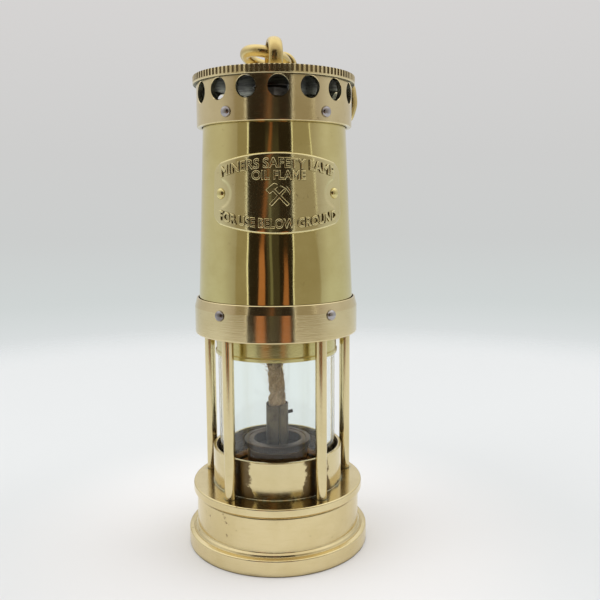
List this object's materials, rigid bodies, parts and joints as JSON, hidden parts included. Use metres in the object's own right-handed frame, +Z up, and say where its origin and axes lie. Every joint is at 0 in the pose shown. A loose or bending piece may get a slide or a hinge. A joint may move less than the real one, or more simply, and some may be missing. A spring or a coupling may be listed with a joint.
{
  "type": "miner's flame safety lamp",
  "caption": "Brass flame safety lamp: round fuel vessel, glass chamber inside upright pillars, long tapered bonnet with vent holes, top eye with link and hook.",
  "frame": {"origin": "centre of the foot, on the surface that the lamp stands on", "axes": "+Z up along the lamp's axis, -Y towards the nameplate side"},
  "size_m": [0.08, 0.08, 0.2196],
  "materials": {
    "brass": "turned and lacquered, fine tool lines",
    "sheet_brass": "polished sheet",
    "steel": "bright rivet heads, lightly marked",
    "dark_bronze": "dark patina, fine knurl",
    "tube_metal": "dull, heat-darkened sheet",
    "gauze_steel": "fine woven wire",
    "clear_glass": "clear and polished",
    "cotton": "loose cotton",
    "wick_cotton": "braided cotton, frayed top",
    "fibre": "pressed fibre"
  },
  "bodies": {
    "vessel": {"vessel_body": "brass", "vessel_base": "brass", "cotton_packing": "cotton", "burner_plate": "brass", "burner_dish": "dark_bronze", "wick_tube": "tube_metal", "pricker_guide": "brass"},
    "seal": {"vessel_seal": "fibre"},
    "frame": {"pillar_base_ring": "brass", "pillar_1": "brass", "pillar_2": "brass", "pillar_3": "brass", "pillar_4": "brass", "pillar_5": "brass", "glass_retainer_ring": "brass", "lower_glass_gasket": "fibre", "glass": "clear_glass", "upper_glass_gasket": "fibre", "gauze_seat_ring": "brass", "inner_gauze": "gauze_steel", "outer_gauze": "gauze_steel", "gauze_clamp_ring": "brass", "bonnet_ring": "brass", "bonnet_ring_rivet_1": "steel", "bonnet_ring_rivet_2": "steel", "bonnet_ring_rivet_3": "steel", "bonnet_ring_rivet_4": "steel", "bonnet_ring_rivet_5": "steel", "bonnet_shell": "sheet_brass", "vent_band": "brass", "vent_band_rivet_1": "steel", "vent_band_rivet_2": "steel", "vent_band_rivet_3": "steel", "vent_band_rivet_4": "steel", "vent_band_rivet_5": "steel", "crown": "brass", "eye_washer": "steel", "nameplate": "sheet_brass", "nameplate_rivet_1": "sheet_brass", "nameplate_rivet_2": "sheet_brass"},
    "eye": {"eye": "brass", "eye_nut": "steel"},
    "link": {"link": "brass"},
    "hook": {"hook": "brass"},
    "burner_washer": {"burner_washer": "fibre"},
    "burner_ring": {"burner_ring": "dark_bronze"},
    "pricker_collar": {"pricker_collar": "brass"},
    "pricker": {"pricker_wire": "steel", "pricker_knob": "brass"},
    "wick": {"wick": "wick_cotton"}
  },
  "joints": [
    {"name": "frame_lift", "type": "slide", "parent": "vessel", "child": "seal", "axis": [0, 0, 1], "range_m": [0, 0.0053]},
    {"name": "frame_turn", "type": "hinge", "parent": "seal", "child": "frame", "pos_m": [0, 0, 0.0233], "axis": [0, 0, 1], "range_deg": [0, 1260]},
    {"name": "burner_lift", "type": "slide", "parent": "vessel", "child": "burner_washer", "axis": [0, 0, 1], "range_m": [0, 0.0021]},
    {"name": "burner_turn", "type": "hinge", "parent": "burner_washer", "child": "burner_ring", "pos_m": [0, 0, 0.0426], "axis": [0, 0, 1], "range_deg": [0, 720]},
    {"name": "pricker_lift", "type": "slide", "parent": "vessel", "child": "pricker_collar", "axis": [0, 0, 1], "range_m": [0, 0.005]},
    {"name": "pricker_turn", "type": "hinge", "parent": "pricker_collar", "child": "pricker", "pos_m": [0, 0.0074, 0.03], "axis": [0, 0, 1], "range_deg": [-25, 120]},
    {"name": "wick_feed", "type": "slide", "parent": "vessel", "child": "wick", "axis": [0, 0, 1], "range_m": [-0.008, 0.004]},
    {"name": "eye_swivel", "type": "hinge", "parent": "frame", "child": "eye", "pos_m": [0, 0, 0.2027], "axis": [0, 0, 1], "continuous": true},
    {"name": "link_tilt", "type": "hinge", "parent": "eye", "child": "link", "pos_m": [-0.00027, 0.00075, 0.21263], "axis": [0.9192, 0.3345, -0.2079], "range_deg": [0, 95]},
    {"name": "hook_swing", "type": "hinge", "parent": "link", "child": "hook", "pos_m": [0.00395, 0.01291, 0.20965], "axis": [0.117, -0.9931, 0], "range_deg": [0, 80]}
  ],
  "couplings": [
    {"joint": "frame_lift", "follows": "frame_turn", "m_per_rad": 0.00023873},
    {"joint": "burner_lift", "follows": "burner_turn", "m_per_rad": 0.00015915}
  ]
}
